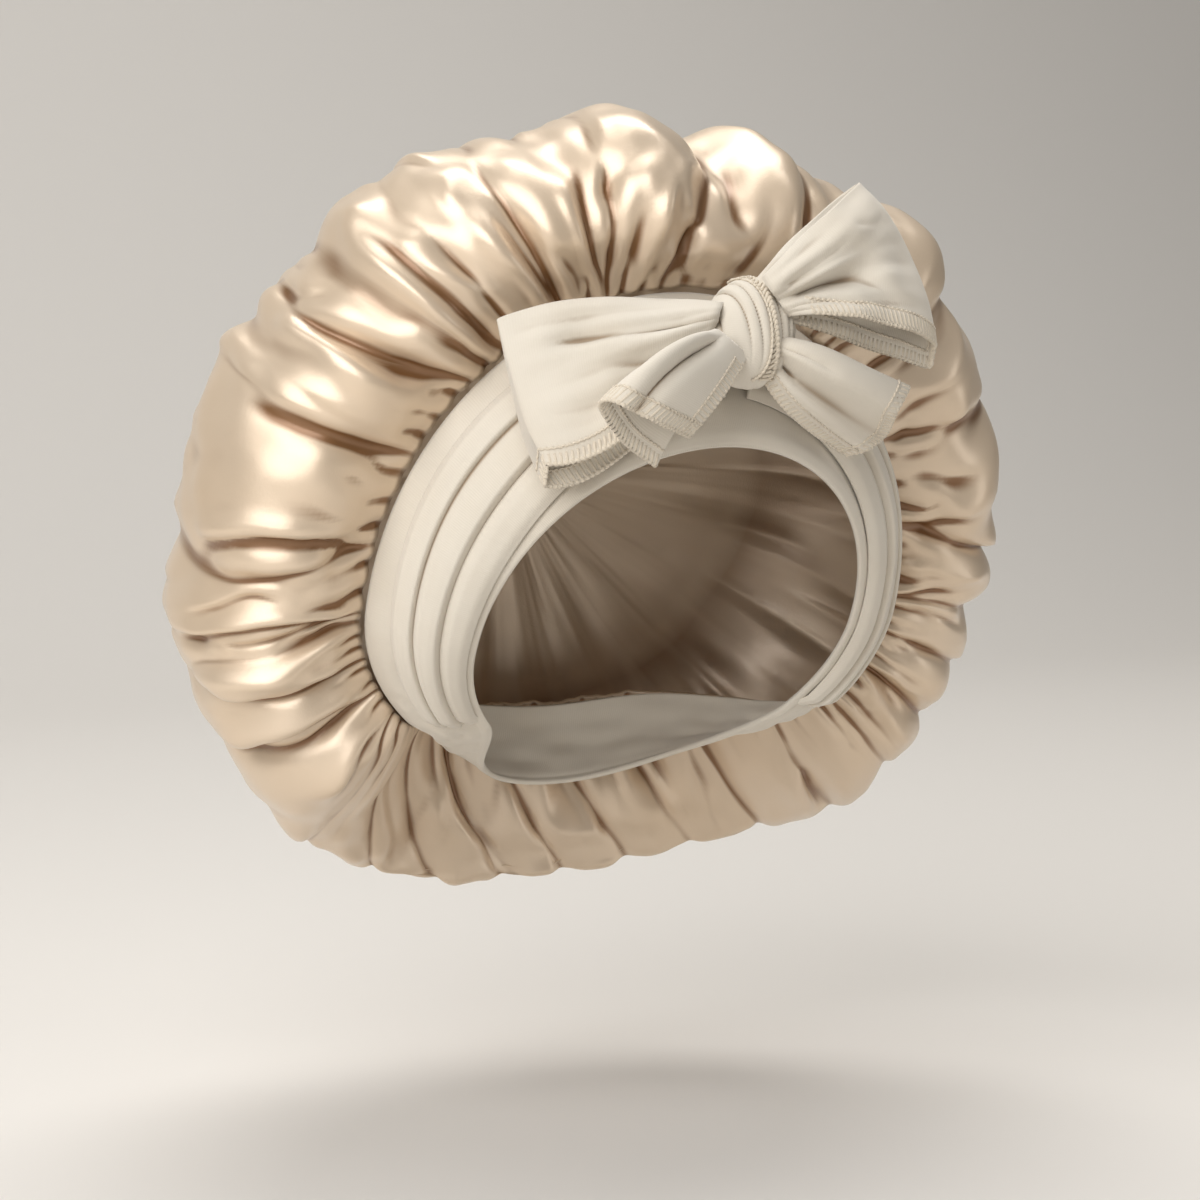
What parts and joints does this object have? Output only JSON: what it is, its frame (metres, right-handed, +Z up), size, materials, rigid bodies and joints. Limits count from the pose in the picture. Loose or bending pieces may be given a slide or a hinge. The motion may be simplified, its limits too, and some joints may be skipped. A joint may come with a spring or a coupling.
{
  "type": "sleep bonnet",
  "caption": "Gathered satin sleep bonnet with a puffed crown, a wide stretch jersey band, and wrapped ties knotted in a bow over the forehead.",
  "frame": {"origin": "centre of the seam ring that goes round the head, where crown and band meet", "axes": "+Z up as worn, -Y the way the face looks, +X the wearer's left"},
  "size_m": [0.3583, 0.2795, 0.33],
  "materials": {
    "satin": "champagne satin with a bright sheen",
    "jersey": "matte cream knitted jersey with overlocked edges"
  },
  "bodies": {
    "root": {"crown": "satin", "band": "jersey", "tie_wrap_right": "jersey", "tie_wrap_left": "jersey", "knot": "jersey", "bow_loop_right": "jersey", "bow_loop_left": "jersey", "bow_tail_right": "jersey", "bow_tail_left": "jersey"}
  },
  "joints": []
}
